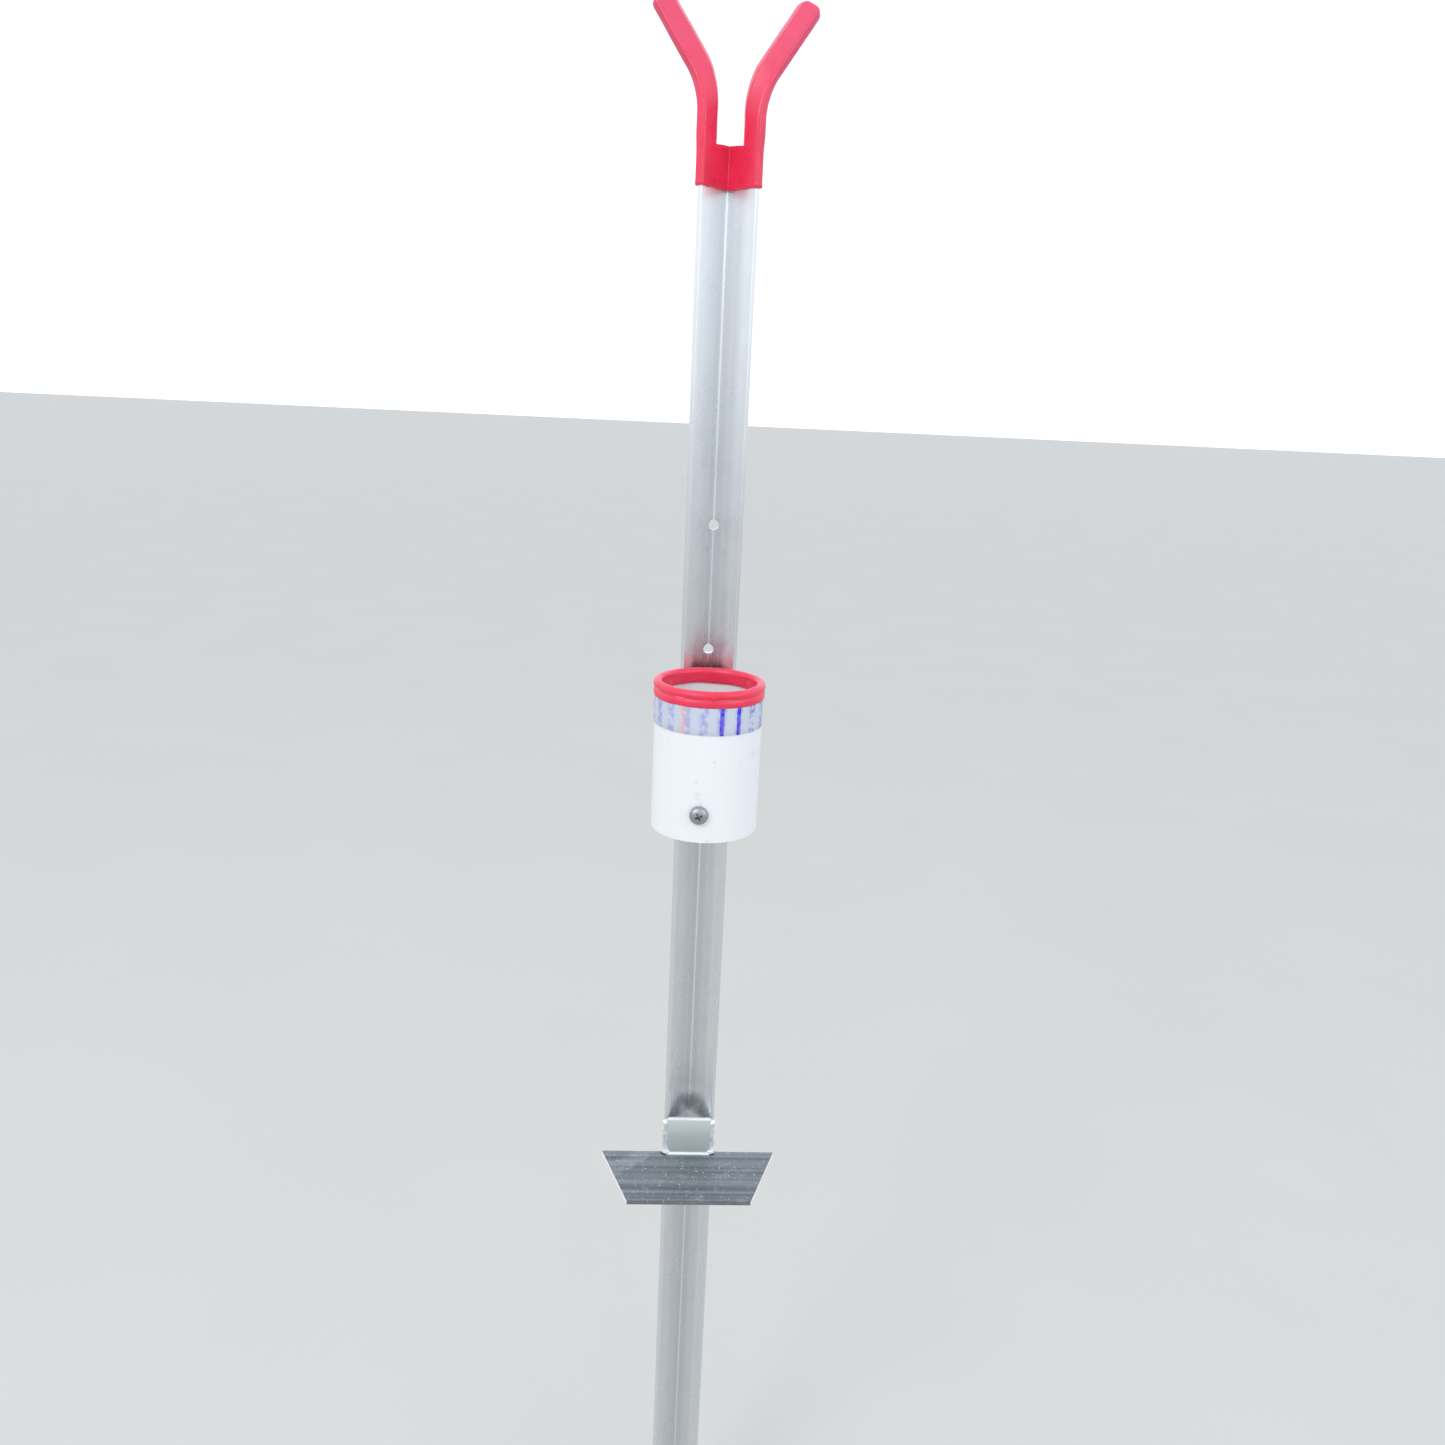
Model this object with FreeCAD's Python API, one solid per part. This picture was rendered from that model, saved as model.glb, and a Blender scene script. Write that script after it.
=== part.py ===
"""Beach rod holder: a V-section aluminium spike with a dipped fork, a bolted cup and a welded foot step.

Millimetres, +Z up. The origin is the tip of the spike, on the outer corner line of the angle.
The open side of the V faces the front, -Y, and +X is to the right as seen from the front.
"""
import FreeCAD, Part
import os
from math import atan2, cos, degrees, hypot, pi, radians, sin, sqrt

VEC = FreeCAD.Vector
UP = VEC(0, 0, 1)
ORIGIN = VEC(0, 0, 0)

# Post: equal-leg aluminium angle
LEG_WIDTH = 25.4
WALL = 3.2
ROOT_RADIUS = 1.2
POINT_LENGTH = 60.0             # the diagonal cut that makes the spike

# Fork: a slot cut out of the corner, and the two strips left beside it bent outwards
SLOT_FLOOR = 1031.8
SLOT_WIDTH = 19.0
PRONG_STRAIGHT = {-1: 19.0, 1: 16.0}   # height before the bend, left and right: bent by hand
PRONG_BEND_RADIUS = 46.0
PRONG_BEND_ANGLE = 34.0
PRONG_LEAN_BACK = 15.0          # degrees, in plan, that the bends run behind plain sideways
PRONG_TWIST = 26.0              # how far the bend turns the flat of a strip towards the front
PRONG_LENGTH = 84.0             # each strip along its middle, before it was bent
BEND_STATIONS = 12

# Dipped vinyl coating
SLEEVE_COAT = 1.4               # round the post below the slot
PRONG_COAT = 1.8                # on the prongs, where it gathered
DIP_BELOW_SLOT = 20.8           # from the slot floor down to the lower edge of the coating
COAT_TIP_ROUND = 1.7
RIM_COAT = 0.8
RIM_INSIDE_COAT = 1.6           # it ran down inside and gathered there
RIM_BEAD = 0.2                  # extra thickness where the coating gathered at the mouth
RIM_DIP_DEPTH = 9.2             # how far the coating reaches down the cup

# Cup: a short length of plastic pipe
CUP_DIAMETER = 67.0
CUP_WALL = 3.0
CUP_BOTTOM = 633.0
CUP_LENGTH = 94.0
SEAT_GAP = 0.05                 # between pieces that rest on each other

# Reflective tape round the cup, under the coated rim
TAPE_WIDTH = 16.7
TAPE_THICKNESS = 0.4
TAPE_SEAM = 1.5                 # the gap where its two ends meet, at the back

# Holes on the corner line, and the bolt that holds the cup
BOLT_RISE = 18.0                # above the lower edge of the cup
SPARE_HOLE_HEIGHT = 737.5
SPARE_HOLE_PITCH = 80.0
SPARE_HOLES = 2
BOLT_DIAMETER = 6.0
HOLE_CLEARANCE = 0.6
BOLT_PAST_NUT = 8.87            # makes the bolt 100 long
BOLT_SKEW = 3.1                 # degrees that the bolt runs off square, head to the left
HEAD_DIAMETER = 11.5
HEAD_HEIGHT = 4.2
HEAD_GAP = 0.25                 # clears the curved wall under the flat of the head
RECESS_SPAN = 5.6
RECESS_SLOT = 1.3
RECESS_DEPTH = 2.2
BOLT_CHAMFER = 0.6
WASHER_DIAMETER = 12.0
WASHER_CLEARANCE = 0.4
WASHER_THICKNESS = 1.6
NUT_ACROSS_FLATS = 10.0
NUT_HEX_HEIGHT = 4.4
NUT_COLLAR_HEIGHT = 1.6
NUT_COLLAR_WALL = 0.7
THREAD_GAP = 0.05
NUT_EDGE = 0.8                  # how far the chamfer comes down each corner of the nut

# Foot step: a length of angle with slanting ends, its upright leg trimmed to fit the post
TREAD_TOP = 367.0
TREAD_DEPTH = 53.0
TREAD_REAR_WIDTH = 124.5
TREAD_FRONT_WIDTH = 85.0
STEP_THICKNESS = 3.2
STEP_ROOT_RADIUS = 2.6
UPSTAND_HEIGHT = 28.5
UPSTAND_INSET = 0.4             # each side, inside the front corners of the post

# Weld beads
BEAD_RADIUS = 3.4
BEAD_FOOT_RADIUS = 5.2
BEAD_FOOT_HEIGHT = 7.0
BEAD_STOP = 2.5                 # the beads end this far below the top of the upright leg
UNDER_BEAD_RADIUS = 3.6
UNDER_BEAD_LENGTH = 8.0

# Worked out from the above
ROOT2 = sqrt(2)
TOE_OUT = LEG_WIDTH / ROOT2                     # outer corner of a toe: x, and minus y
TOE_IN_X = (LEG_WIDTH - WALL) / ROOT2           # inner corner of a toe
TOE_FRONT = -(LEG_WIDTH + WALL) / ROOT2
VALLEY = -WALL * ROOT2
CUP_RADIUS = CUP_DIAMETER / 2
CUP_BORE = CUP_RADIUS - CUP_WALL
CUP_TOP = CUP_BOTTOM + CUP_LENGTH
CUP_AXIS_Y = TOE_FRONT - SEAT_GAP - sqrt(CUP_RADIUS ** 2 - TOE_IN_X ** 2)
CUP_AXIS = VEC(0, CUP_AXIS_Y, 0)
RIM_LINE = CUP_TOP - RIM_DIP_DEPTH
FORK_DIP_LINE = SLOT_FLOOR - DIP_BELOW_SLOT
BOLT_HEIGHT = CUP_BOTTOM + BOLT_RISE
HOLE_DIAMETER = BOLT_DIAMETER + HOLE_CLEARANCE
WASHER_BORE = BOLT_DIAMETER + WASHER_CLEARANCE
BEND_LENGTH = PRONG_BEND_RADIUS * radians(PRONG_BEND_ANGLE)
SLOT_EDGE = SLOT_WIDTH / 2 * ROOT2              # along the outside of a leg
HUGE = 4 * LEG_WIDTH + CUP_DIAMETER


def prism(outline, low, high):
    """Stand an outline of (x, y) points up between two heights."""
    corners = [VEC(x, y, low) for x, y in outline]
    wire = Part.makePolygon(corners + corners[:1])
    return Part.Face(wire).extrude(UP * (high - low))


def block(x0, x1, y0, y1, z0, z1):
    return Part.makeBox(x1 - x0, y1 - y0, z1 - z0, VEC(x0, y0, z0))


def disc(radius, low, high, centre=ORIGIN):
    return Part.makeCylinder(radius, high - low, centre + UP * low)


def ring(outer, inner, low, high, centre=ORIGIN):
    return disc(outer, low, high, centre).cut(disc(inner, low, high, centre))


def vertical_edges_at(shape, x, y):
    """The upright edges of a shape that stand on one point of the plan."""
    found = []
    for edge in shape.Edges:
        points = [vertex.Point for vertex in edge.Vertexes]
        if len(points) == 2 and all(hypot(p.x - x, p.y - y) < 1e-4 for p in points):
            found.append(edge)
    return found


# ---- post ----------------------------------------------------------------------------------

def angle_outline():
    """The V section, from the outer corner round by the right leg to the left."""
    right = [(TOE_OUT, -TOE_OUT), (TOE_IN_X, TOE_FRONT)]
    left = [(-x, y) for x, y in reversed(right)]
    return [(0, 0)] + right + [(0, VALLEY)] + left


def leg_directions(side):
    """Along a leg towards its toe, and square to it towards the inside of the V."""
    return VEC(side, -1, 0) / ROOT2, VEC(-side, -1, 0) / ROOT2


def strip_outline(side, grow):
    """The plan of one leg beside the slot, moved so that its middle is at the origin."""
    along, inward = leg_directions(side)
    corners = [(SLOT_EDGE, 0), (LEG_WIDTH, 0), (LEG_WIDTH, WALL), (SLOT_EDGE + WALL, WALL)]
    points = [along * a + inward * b - strip_middle(side) for a, b in corners]
    wire = Part.makePolygon(points + points[:1])
    return wire.makeOffset2D(grow, 0) if grow else wire


def strip_middle(side):
    along, inward = leg_directions(side)
    return along * (SLOT_EDGE + WALL / 2 + LEG_WIDTH) / 2 + inward * WALL / 2


def strip_place(side, share):
    """Where the middle of a strip is, and how it is turned, part of the way round its bend."""
    azimuth = radians(PRONG_LEAN_BACK)
    outward = VEC(side * cos(azimuth), sin(azimuth), 0)
    angle = PRONG_BEND_ANGLE * share
    tilt = FreeCAD.Rotation(UP.cross(outward), angle)
    twist = FreeCAD.Rotation(UP, side * PRONG_TWIST * share)
    rise = UP * (SLOT_FLOOR + PRONG_STRAIGHT[side] + PRONG_BEND_RADIUS * sin(radians(angle)))
    spread = outward * PRONG_BEND_RADIUS * (1 - cos(radians(angle)))
    return FreeCAD.Placement(strip_middle(side) + rise + spread, tilt.multiply(twist))


def strip_section(side, share, grow):
    section = strip_outline(side, grow)
    section.Placement = strip_place(side, share).multiply(section.Placement)
    return section


def prong(side, grow=0.0):
    """One strip from the slot floor: straight, bent and twisted outwards, straight to its end."""
    first = Part.Face(strip_section(side, 0, grow))
    straight = first.extrude(UP * -PRONG_STRAIGHT[side])
    stations = [i / BEND_STATIONS for i in range(BEND_STATIONS + 1)]
    bend = Part.makeLoft([strip_section(side, share, grow) for share in stations], True, False)
    end_length = PRONG_LENGTH - PRONG_STRAIGHT[side] - BEND_LENGTH + grow
    heading = strip_place(side, 1).Rotation.multVec(UP)
    end = Part.Face(strip_section(side, 1, grow)).extrude(heading * end_length)
    if grow:
        tip = max(end.Faces, key=lambda face: face.CenterOfMass.z)
        end = end.makeFillet(COAT_TIP_ROUND, tip.Edges)
    return straight.fuse([bend, end]).removeSplitter()


def spare_hole(index):
    """A drill square through the corner of the post."""
    height = SPARE_HOLE_HEIGHT + SPARE_HOLE_PITCH * index
    return Part.makeCylinder(HOLE_DIAMETER / 2, HUGE, VEC(0, -HUGE / 2, height), VEC(0, 1, 0))


def bolt_hole():
    """One drill, slightly off square, through both walls of the cup and the corner behind them."""
    return on_bolt(disc(HOLE_DIAMETER / 2, -HUGE / 2, HUGE), 0)


def spike_cut():
    """What the two slanting cuts take off below the point, seen from the side."""
    slope = [(0, 0), (TOE_FRONT, POINT_LENGTH), (TOE_FRONT, 0)]
    corners = [VEC(-HUGE, y, z) for y, z in slope]
    wire = Part.makePolygon(corners + corners[:1])
    return Part.Face(wire).extrude(VEC(2 * HUGE, 0, 0))


def post_angle():
    post = prism(angle_outline(), 0, SLOT_FLOOR)
    post = post.makeFillet(ROOT_RADIUS, vertical_edges_at(post, 0, VALLEY))
    post = post.cut(spike_cut()).cut(bolt_hole())
    for index in range(SPARE_HOLES):
        post = post.cut(spare_hole(index))
    return post.fuse([prong(side) for side in (-1, 1)]).removeSplitter()


def fork_coating(post):
    """The vinyl skin over the top of the post."""
    corners = [VEC(x, y, FORK_DIP_LINE) for x, y in angle_outline()]
    section = Part.makePolygon(corners + corners[:1]).makeOffset2D(SLEEVE_COAT, 0)
    sleeve = Part.Face(section).extrude(UP * (SLOT_FLOOR + SLEEVE_COAT - FORK_DIP_LINE))
    skin = sleeve.fuse([prong(side, PRONG_COAT) for side in (-1, 1)])
    return skin.cut(post).removeSplitter()


# ---- cup -----------------------------------------------------------------------------------

def bolt_axis():
    """The direction from the corner of the post towards the head of the bolt."""
    return VEC(-sin(radians(BOLT_SKEW)), -cos(radians(BOLT_SKEW)), 0)


def bolt_start():
    """The outer corner of the post at the height of the bolt, where the washer bears."""
    return UP * BOLT_HEIGHT


def head_distance():
    """From the corner of the post along the bolt to the outside of the cup's front wall."""
    to_axis = CUP_AXIS
    nearest = to_axis.dot(bolt_axis())
    offset = to_axis.cross(bolt_axis()).Length
    return nearest + sqrt(CUP_RADIUS ** 2 - offset ** 2) + HEAD_GAP


def bolt_length():
    """Under the head to the end: through the cup, the post, the washer and the nut, and past it."""
    return head_distance() - nut_seat() + NUT_HEX_HEIGHT + NUT_COLLAR_HEIGHT + BOLT_PAST_NUT


def on_bolt(shape, distance):
    """Place a turned piece, made about +Z with its seat at zero, at a distance along the bolt."""
    turned = shape.copy()
    turned.Placement = FreeCAD.Placement(bolt_start() + bolt_axis() * distance,
                                         FreeCAD.Rotation(UP, bolt_axis()))
    return turned


def cup_tube():
    tube = ring(CUP_RADIUS, CUP_BORE, CUP_BOTTOM, CUP_TOP, CUP_AXIS)
    return tube.cut(bolt_hole())


def rim_profile():
    """Half-section of the coated mouth: a full round over the edge, then a thinner skirt."""
    inner, skirt = CUP_BORE - RIM_INSIDE_COAT, CUP_RADIUS + RIM_COAT
    bead = skirt + RIM_BEAD
    top = CUP_TOP + RIM_COAT
    shoulder = top - (bead - inner) / 2
    tuck = shoulder - (bead - inner) / 4

    def at(radius, height):
        return CUP_AXIS + VEC(radius, 0, height)

    over = Part.Arc(at(inner, shoulder), at((inner + bead) / 2, top), at(bead, shoulder))
    corners = [at(bead, shoulder), at(skirt, tuck), at(skirt, RIM_LINE), at(inner, RIM_LINE),
               at(inner, shoulder)]
    sides = [Part.LineSegment(a, b).toShape() for a, b in zip(corners, corners[1:])]
    return Part.Face(Part.Wire([over.toShape()] + sides))


def cup_rim_coating(post):
    """The dipped mouth of the cup, nipped flat where it presses on the post's front corners."""
    skin = rim_profile().revolve(CUP_AXIS, UP, 360)
    skin = skin.cut(ring(CUP_RADIUS, CUP_BORE, RIM_LINE, CUP_TOP, CUP_AXIS))
    return skin.cut(post)


def reflective_tape(post):
    low, high = RIM_LINE - TAPE_WIDTH, RIM_LINE
    tape = ring(CUP_RADIUS + TAPE_THICKNESS, CUP_RADIUS, low, high, CUP_AXIS)
    seam = block(-TAPE_SEAM / 2, TAPE_SEAM / 2, CUP_AXIS_Y, CUP_AXIS_Y + CUP_DIAMETER, low, high)
    return tape.cut(seam).cut(post)


# ---- fasteners -----------------------------------------------------------------------------

def cup_bolt():
    """Pan-head machine screw with a cross recess. Its seat is at zero and its shank below."""
    shank = disc(BOLT_DIAMETER / 2, -bolt_length(), 0)
    end = min(shank.Edges, key=lambda edge: edge.BoundBox.ZMax)
    shank = shank.makeChamfer(BOLT_CHAMFER, [end])
    head = disc(HEAD_DIAMETER / 2, 0, HEAD_HEIGHT)
    rim = max(head.Edges, key=lambda edge: edge.BoundBox.ZMin)
    head = head.makeFillet(HEAD_HEIGHT * 0.75, [rim])
    floor = HEAD_HEIGHT - RECESS_DEPTH
    for a, b in ((RECESS_SPAN, RECESS_SLOT), (RECESS_SLOT, RECESS_SPAN)):
        head = head.cut(block(-a / 2, a / 2, -b / 2, b / 2, floor, HEAD_HEIGHT))
    return on_bolt(shank.fuse(head), head_distance())


def bolt_washer():
    return on_bolt(ring(WASHER_DIAMETER / 2, WASHER_BORE / 2, 0, WASHER_THICKNESS),
                   -SEAT_GAP - WASHER_THICKNESS)


def nut_seat():
    """The face of the nut against the washer, as a distance along the bolt."""
    return -2 * SEAT_GAP - WASHER_THICKNESS


def nut_bore():
    return BOLT_DIAMETER / 2 + THREAD_GAP


def collar_radius():
    return NUT_ACROSS_FLATS / 2 - NUT_EDGE / 2


def insert_radius():
    return collar_radius() - NUT_COLLAR_WALL


def hexagon(across_flats, low, high):
    corner = across_flats / 2 / cos(pi / 6)
    turns = [i * pi / 3 for i in range(6)]
    return prism([(corner * cos(a), corner * sin(a)) for a in turns], low, high)


def lock_nut():
    """Hexagon nut with a thin collar at the back that grips the plastic ring."""
    body = hexagon(NUT_ACROSS_FLATS, -NUT_HEX_HEIGHT, 0)
    corner = NUT_ACROSS_FLATS / 2 / cos(pi / 6)
    cone_top = NUT_ACROSS_FLATS / 2 - NUT_EDGE / 2
    rounding = Part.makeCone(cone_top, cone_top + NUT_HEX_HEIGHT * 2, NUT_HEX_HEIGHT * 2,
                             UP * -NUT_HEX_HEIGHT)
    body = body.common(rounding).common(disc(corner, -NUT_HEX_HEIGHT, 0))
    collar = disc(collar_radius(), -NUT_HEX_HEIGHT - NUT_COLLAR_HEIGHT, -NUT_HEX_HEIGHT)
    collar = collar.cut(disc(insert_radius(), -NUT_HEX_HEIGHT - NUT_COLLAR_HEIGHT, -NUT_HEX_HEIGHT))
    nut = body.fuse(collar).cut(disc(nut_bore(), -NUT_HEX_HEIGHT, 0))
    return on_bolt(nut, nut_seat())


def nut_insert():
    low = -NUT_HEX_HEIGHT - NUT_COLLAR_HEIGHT
    return on_bolt(ring(insert_radius(), nut_bore(), low, -NUT_HEX_HEIGHT), nut_seat())


# ---- foot step -----------------------------------------------------------------------------

def step_rear():
    return TOE_FRONT - SEAT_GAP


def upstand_half_width():
    return TOE_IN_X - UPSTAND_INSET


def foot_step():
    """Angle section with its root at the post, cut to a trapezoid, upright leg trimmed."""
    rear, top, thick = step_rear(), TREAD_TOP, STEP_THICKNESS
    front = rear - TREAD_DEPTH
    half_rear, half_front = TREAD_REAR_WIDTH / 2, TREAD_FRONT_WIDTH / 2
    tread = block(-half_rear, half_rear, front, rear, top - thick, top)
    half = upstand_half_width()
    upstand = block(-half, half, rear - thick, rear, top - thick, top + UPSTAND_HEIGHT)
    step = tread.fuse(upstand).removeSplitter()
    root = [edge for edge in step.Edges
            if all(abs(v.Z - top) < 1e-4 and abs(v.Y - rear + thick) < 1e-4 for v in edge.Vertexes)]
    step = step.makeFillet(STEP_ROOT_RADIUS, root)
    plan = [(-half_rear, rear), (half_rear, rear), (half_front, front), (-half_front, front)]
    return step.common(prism(plan, top - thick, top + UPSTAND_HEIGHT))


def step_side_welds(post, step):
    """The two beads up the edges of the upright leg, each spreading to a foot on the tread."""
    beads = []
    top = TREAD_TOP + UPSTAND_HEIGHT - BEAD_STOP
    for side in (-1, 1):
        centre = VEC(side * TOE_IN_X, TOE_FRONT, 0)
        bead = disc(BEAD_RADIUS, TREAD_TOP, top, centre)
        foot = Part.makeCone(BEAD_FOOT_RADIUS, BEAD_RADIUS, BEAD_FOOT_HEIGHT, centre + UP * TREAD_TOP)
        reach = sorted((side * upstand_half_width(), side * HUGE))
        outside = block(reach[0], reach[1], TOE_FRONT - HUGE, -TOE_OUT, TREAD_TOP, top)
        beads.append(bead.fuse(foot).removeSplitter().common(outside).cut(post).cut(step))
    return Part.makeCompound(beads)


def step_under_welds(post, step):
    """A short bead under the tread at each front corner of the post."""
    beads = []
    for side in (-1, 1):
        low_x = side * TOE_IN_X - UNDER_BEAD_LENGTH / 2
        centre = VEC(low_x, TOE_FRONT, TREAD_TOP - STEP_THICKNESS)
        bead = Part.makeCylinder(UNDER_BEAD_RADIUS, UNDER_BEAD_LENGTH, centre, VEC(1, 0, 0))
        below = block(-HUGE, HUGE, TOE_FRONT - HUGE, TOE_FRONT + SEAT_GAP, 0, centre.z)
        beads.append(bead.common(below).cut(post).cut(step))
    return Part.makeCompound(beads)


def build():
    post = post_angle()
    step = foot_step()
    return {
        "post_angle": post,
        "fork_coating": fork_coating(post),
        "cup_tube": cup_tube(),
        "cup_rim_coating": cup_rim_coating(post),
        "reflective_tape": reflective_tape(post),
        "cup_bolt": cup_bolt(),
        "bolt_washer": bolt_washer(),
        "lock_nut": lock_nut(),
        "nut_insert": nut_insert(),
        "foot_step": step,
        "step_side_welds": step_side_welds(post, step),
        "step_under_welds": step_under_welds(post, step),
    }


os.makedirs("parts", exist_ok=True)
for name, shape in build().items():
    solids = shape.Solids
    valid = all(solid.isValid() for solid in solids)
    box = shape.BoundBox
    print(f"{name}: {len(solids)} solid(s), valid {valid}, {shape.Volume / 1000:.2f} cm3, "
          f"x {box.XMin:.1f}..{box.XMax:.1f}, y {box.YMin:.1f}..{box.YMax:.1f}, "
          f"z {box.ZMin:.1f}..{box.ZMax:.1f}")
    shape.exportStep(f"parts/{name}.step")
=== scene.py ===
"""Beach rod holder: V-section aluminium spike, dipped fork, bolted cup and welded foot step.

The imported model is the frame, and the pieces below take their places from it. Piece sizes are in
millimetres, as they were designed, and are turned to metres when a mesh is made. +Z is up, the open
side of the V faces the front, -Y, and the tip of the spike is the origin.
"""
from math import atan2, cos, pi, radians, sin, sqrt, tan

import bmesh
import bpy
from mathutils import Matrix, Quaternion, Vector, noise


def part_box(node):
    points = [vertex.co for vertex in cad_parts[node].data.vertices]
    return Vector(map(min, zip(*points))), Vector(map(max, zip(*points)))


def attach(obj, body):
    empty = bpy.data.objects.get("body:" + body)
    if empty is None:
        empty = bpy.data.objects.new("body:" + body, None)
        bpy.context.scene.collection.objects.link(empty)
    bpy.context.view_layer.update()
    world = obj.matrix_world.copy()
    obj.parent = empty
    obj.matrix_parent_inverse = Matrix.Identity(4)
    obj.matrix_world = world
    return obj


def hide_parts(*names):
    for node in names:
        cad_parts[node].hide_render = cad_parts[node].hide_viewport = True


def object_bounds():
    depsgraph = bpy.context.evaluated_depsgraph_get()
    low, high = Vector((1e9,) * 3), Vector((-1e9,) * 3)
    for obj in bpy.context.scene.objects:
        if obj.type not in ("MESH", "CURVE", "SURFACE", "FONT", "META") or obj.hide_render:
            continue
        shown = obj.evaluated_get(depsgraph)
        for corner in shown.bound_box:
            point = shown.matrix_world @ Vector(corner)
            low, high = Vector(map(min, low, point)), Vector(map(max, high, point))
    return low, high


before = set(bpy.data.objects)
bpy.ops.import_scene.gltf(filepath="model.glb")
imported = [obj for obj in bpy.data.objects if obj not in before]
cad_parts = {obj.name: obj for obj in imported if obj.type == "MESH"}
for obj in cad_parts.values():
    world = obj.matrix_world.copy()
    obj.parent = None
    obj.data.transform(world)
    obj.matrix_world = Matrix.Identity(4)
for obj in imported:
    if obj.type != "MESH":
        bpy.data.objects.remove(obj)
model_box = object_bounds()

MM = 0.001
UP = Vector((0, 0, 1))

# Sockets of a Mix node, which has a set for each kind of data
VECTOR_A, VECTOR_OUT = 4, 1
COLOUR_A, COLOUR_B, COLOUR_OUT = 6, 7, 2

# Post: equal-leg angle
LEG_WIDTH = 25.4
WALL = 3.2
ROOT_RADIUS = 1.2
HEEL_RADIUS = 0.5               # the outer corner, as it leaves the die
TOE_RADIUS = 0.3
POINT_LENGTH = 60.0

# Fork
SLOT_FLOOR = 1031.8
SLOT_WIDTH = 19.0
PRONG_STRAIGHT = {-1: 19.0, 1: 16.0}
BEND_RADIUS = 46.0
BEND_ANGLE = 34.0
LEAN_BACK = 15.0
TWIST = 26.0
PRONG_LENGTH = 84.0
PRONG_ROUNDING = 4.6            # how much of its end is dipped round

# Coatings
SLEEVE_COAT = 1.4
PRONG_COAT = 1.8
DIP_LINE = 1011.0
RIM_COAT = 0.8
RIM_INSIDE_COAT = 1.6
SKIN_GRAIN = 0.42               # the mesh of the fork's skin

# Cup and tape
CUP_RADIUS = 33.5
CUP_WALL = 3.0
TAPE_THICKNESS = 0.4
PRISM_ROW = 10.8                # from one row of prisms to the next, round the cup
PRISM_GRID = 1.1                # drawn so that it shows: the real grid is a fifth of that
DRIP_TURN = 3.0                 # where the drip hangs, in degrees from the front
DRIP_WIDTH = 3.4

# Bolt
BOLT_HEIGHT = 651.0
BOLT_SKEW = 3.1
BOLT_RADIUS = 3.0
THREAD_PITCH = 1.0
THREAD_DEPTH = 0.55
BOLT_LENGTH = 100.0
HEAD_RADIUS = 5.75
HEAD_HEIGHT = 4.2
RECESS_SPAN = 5.6
RECESS_SLOT = 1.3
RECESS_DEPTH = 2.2
HOLE_RADIUS = 3.3
DRILL_LENGTH = 80.0             # a cutter longer than any hole
CROSS_TURN = 22.0               # how the driver left the cross, in degrees
SPARE_HOLES = (737.5, 817.5)

# Foot step
TREAD_TOP = 367.0
TREAD_DEPTH = 53.0
TREAD_REAR = 124.5
TREAD_FRONT = 85.0
STEP_THICKNESS = 3.2
STEP_ROOT = 2.6
UPSTAND_HEIGHT = 28.5
UPSTAND_INSET = 0.4
BEAD_RADIUS = 3.4
BEAD_FOOT = 5.2
BEAD_FOOT_HEIGHT = 7.0
RIPPLE_PITCH = 2.1              # from one frozen weld puddle to the next
UNDER_BEAD = 3.6
UNDER_BEAD_LENGTH = 8.0

# Studio, in metres
FLOOR_REACH = 60
EYE = (-0.027794, -0.71966, 0.889)

ROOT2 = sqrt(2)
TOE_OUT = LEG_WIDTH / ROOT2
TOE_IN_X = (LEG_WIDTH - WALL) / ROOT2
TOE_FRONT = -(LEG_WIDTH + WALL) / ROOT2
VALLEY = -WALL * ROOT2
SLOT_EDGE = SLOT_WIDTH / 2 * ROOT2
SEAT_GAP = 0.05
CUP_AXIS_Y = TOE_FRONT - SEAT_GAP - sqrt(CUP_RADIUS ** 2 - TOE_IN_X ** 2)
CUP_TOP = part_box("cup_tube")[1].z / MM
RIM_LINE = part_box("reflective_tape")[1].z / MM
TAPE_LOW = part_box("reflective_tape")[0].z / MM


# ---- finishes ----

def linear(hex_colour):
    """An sRGB hex colour as linear red, green, blue and alpha."""
    parts = [int(hex_colour[i:i + 2], 16) / 255 for i in (1, 3, 5)]
    return [c / 12.92 if c <= 0.04045 else ((c + 0.055) / 1.055) ** 2.4 for c in parts] + [1]


def add(finish, kind, inputs=None, **settings):
    """Adds one node. An input is a value, or the socket of another node to link it to."""
    tree = finish.node_tree
    made = tree.nodes.new("ShaderNode" + kind)
    for name, value in settings.items():
        setattr(made, name, value)
    for socket, value in (inputs or {}).items():
        if isinstance(value, bpy.types.NodeSocket):
            tree.links.new(value, made.inputs[socket])
        else:
            made.inputs[socket].default_value = value
    return made


def new_finish(name):
    """A material with only a node for the place on the object, and that place, in metres."""
    finish = bpy.data.materials.new(name)
    finish.use_nodes = True
    finish.node_tree.nodes.clear()
    return finish, add(finish, "TexCoord").outputs["Object"]


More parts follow.
